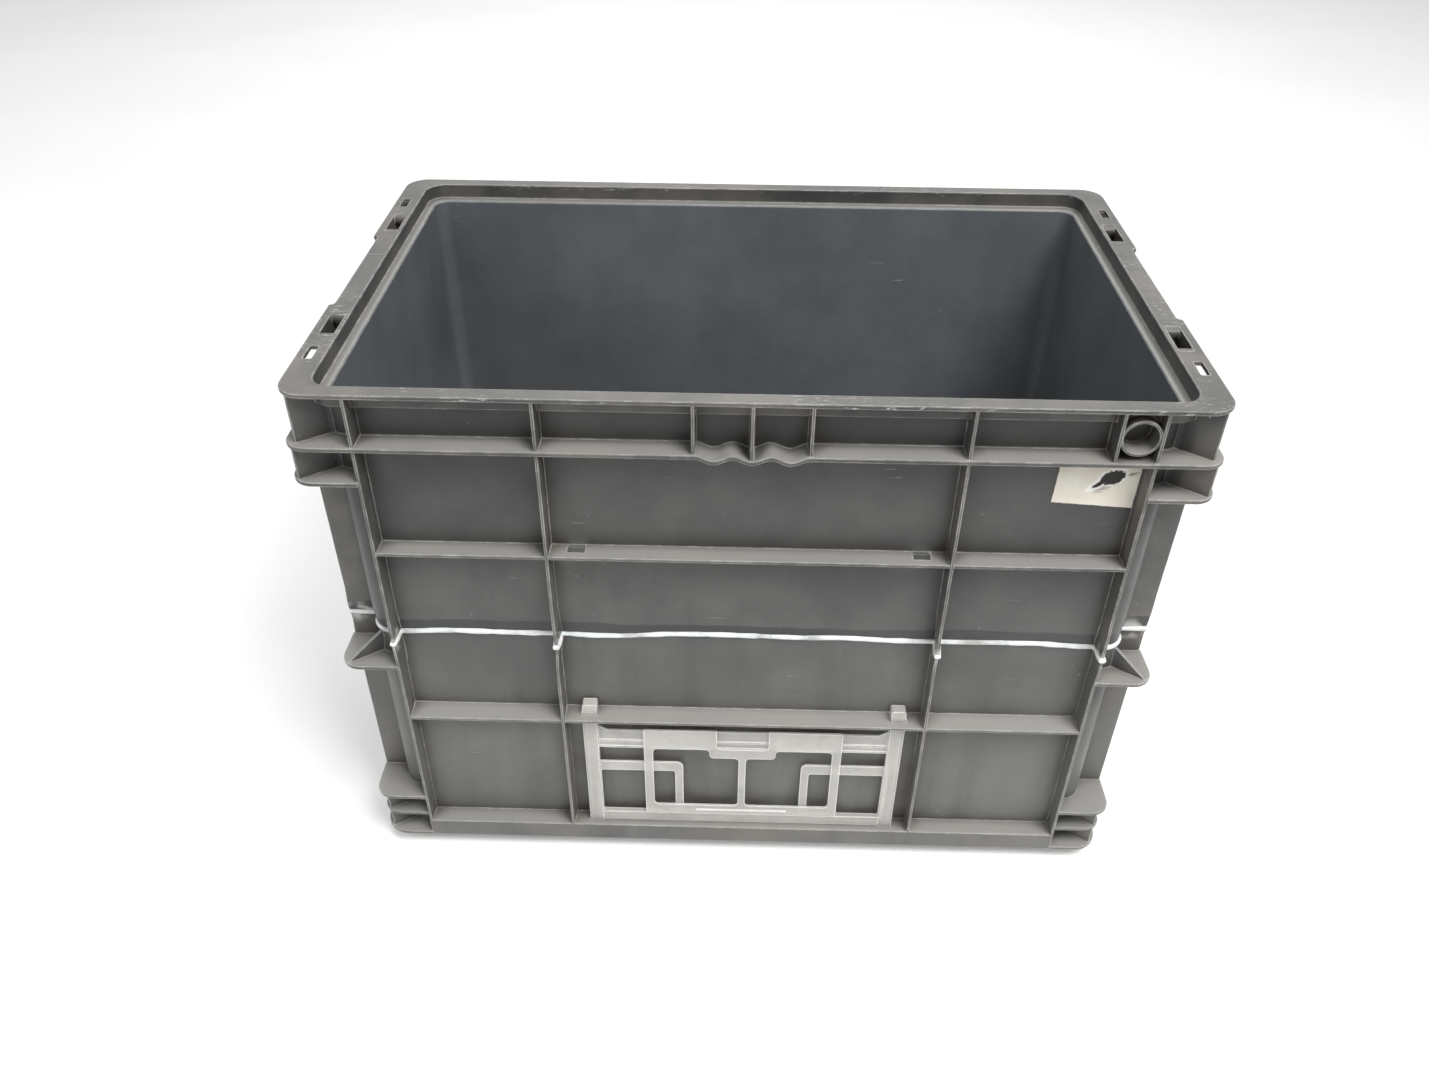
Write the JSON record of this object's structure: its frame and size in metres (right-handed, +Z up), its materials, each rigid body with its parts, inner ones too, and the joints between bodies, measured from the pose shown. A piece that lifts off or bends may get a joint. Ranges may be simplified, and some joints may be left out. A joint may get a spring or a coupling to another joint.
{
  "type": "stacking storage crate",
  "caption": "Deep straight-wall stacking crate with outside fins and ribs, a recessed stacking rim, a welded joint round its middle and a clear label holder with a hinged gate.",
  "frame": {"origin": "centre of the base, on the surface the crate stands on", "axes": "+Z up, X along the long sides, -Y is the front with the label holder"},
  "size_m": [0.6096, 0.381, 0.44],
  "materials": {
    "grey_plastic": "dark slate-grey injection-moulded polypropylene, satin, scuffed and dusty on its flanges",
    "weld_flash": "pale stress-whitened polypropylene squeezed out of the weld",
    "clear_plastic": "translucent natural polypropylene, smooth with polished edges",
    "paper": "cream adhesive paper, worn, with a dark torn patch"
  },
  "bodies": {
    "crate": {"lower_front": "grey_plastic", "lower_back": "grey_plastic", "lower_left": "grey_plastic", "lower_right": "grey_plastic", "floor_panel": "grey_plastic", "upper_front": "grey_plastic", "upper_back": "grey_plastic", "upper_left": "grey_plastic", "upper_right": "grey_plastic", "weld_bead": "weld_flash", "label_holder": "clear_plastic", "paper_label": "paper"},
    "gate": {"label_gate": "clear_plastic"}
  },
  "joints": [
    {"name": "gate_hinge", "type": "hinge", "parent": "crate", "child": "gate", "pos_m": [0, -0.1803, 0.0422], "axis": [1, 0, 0], "range_deg": [0, 120]}
  ]
}
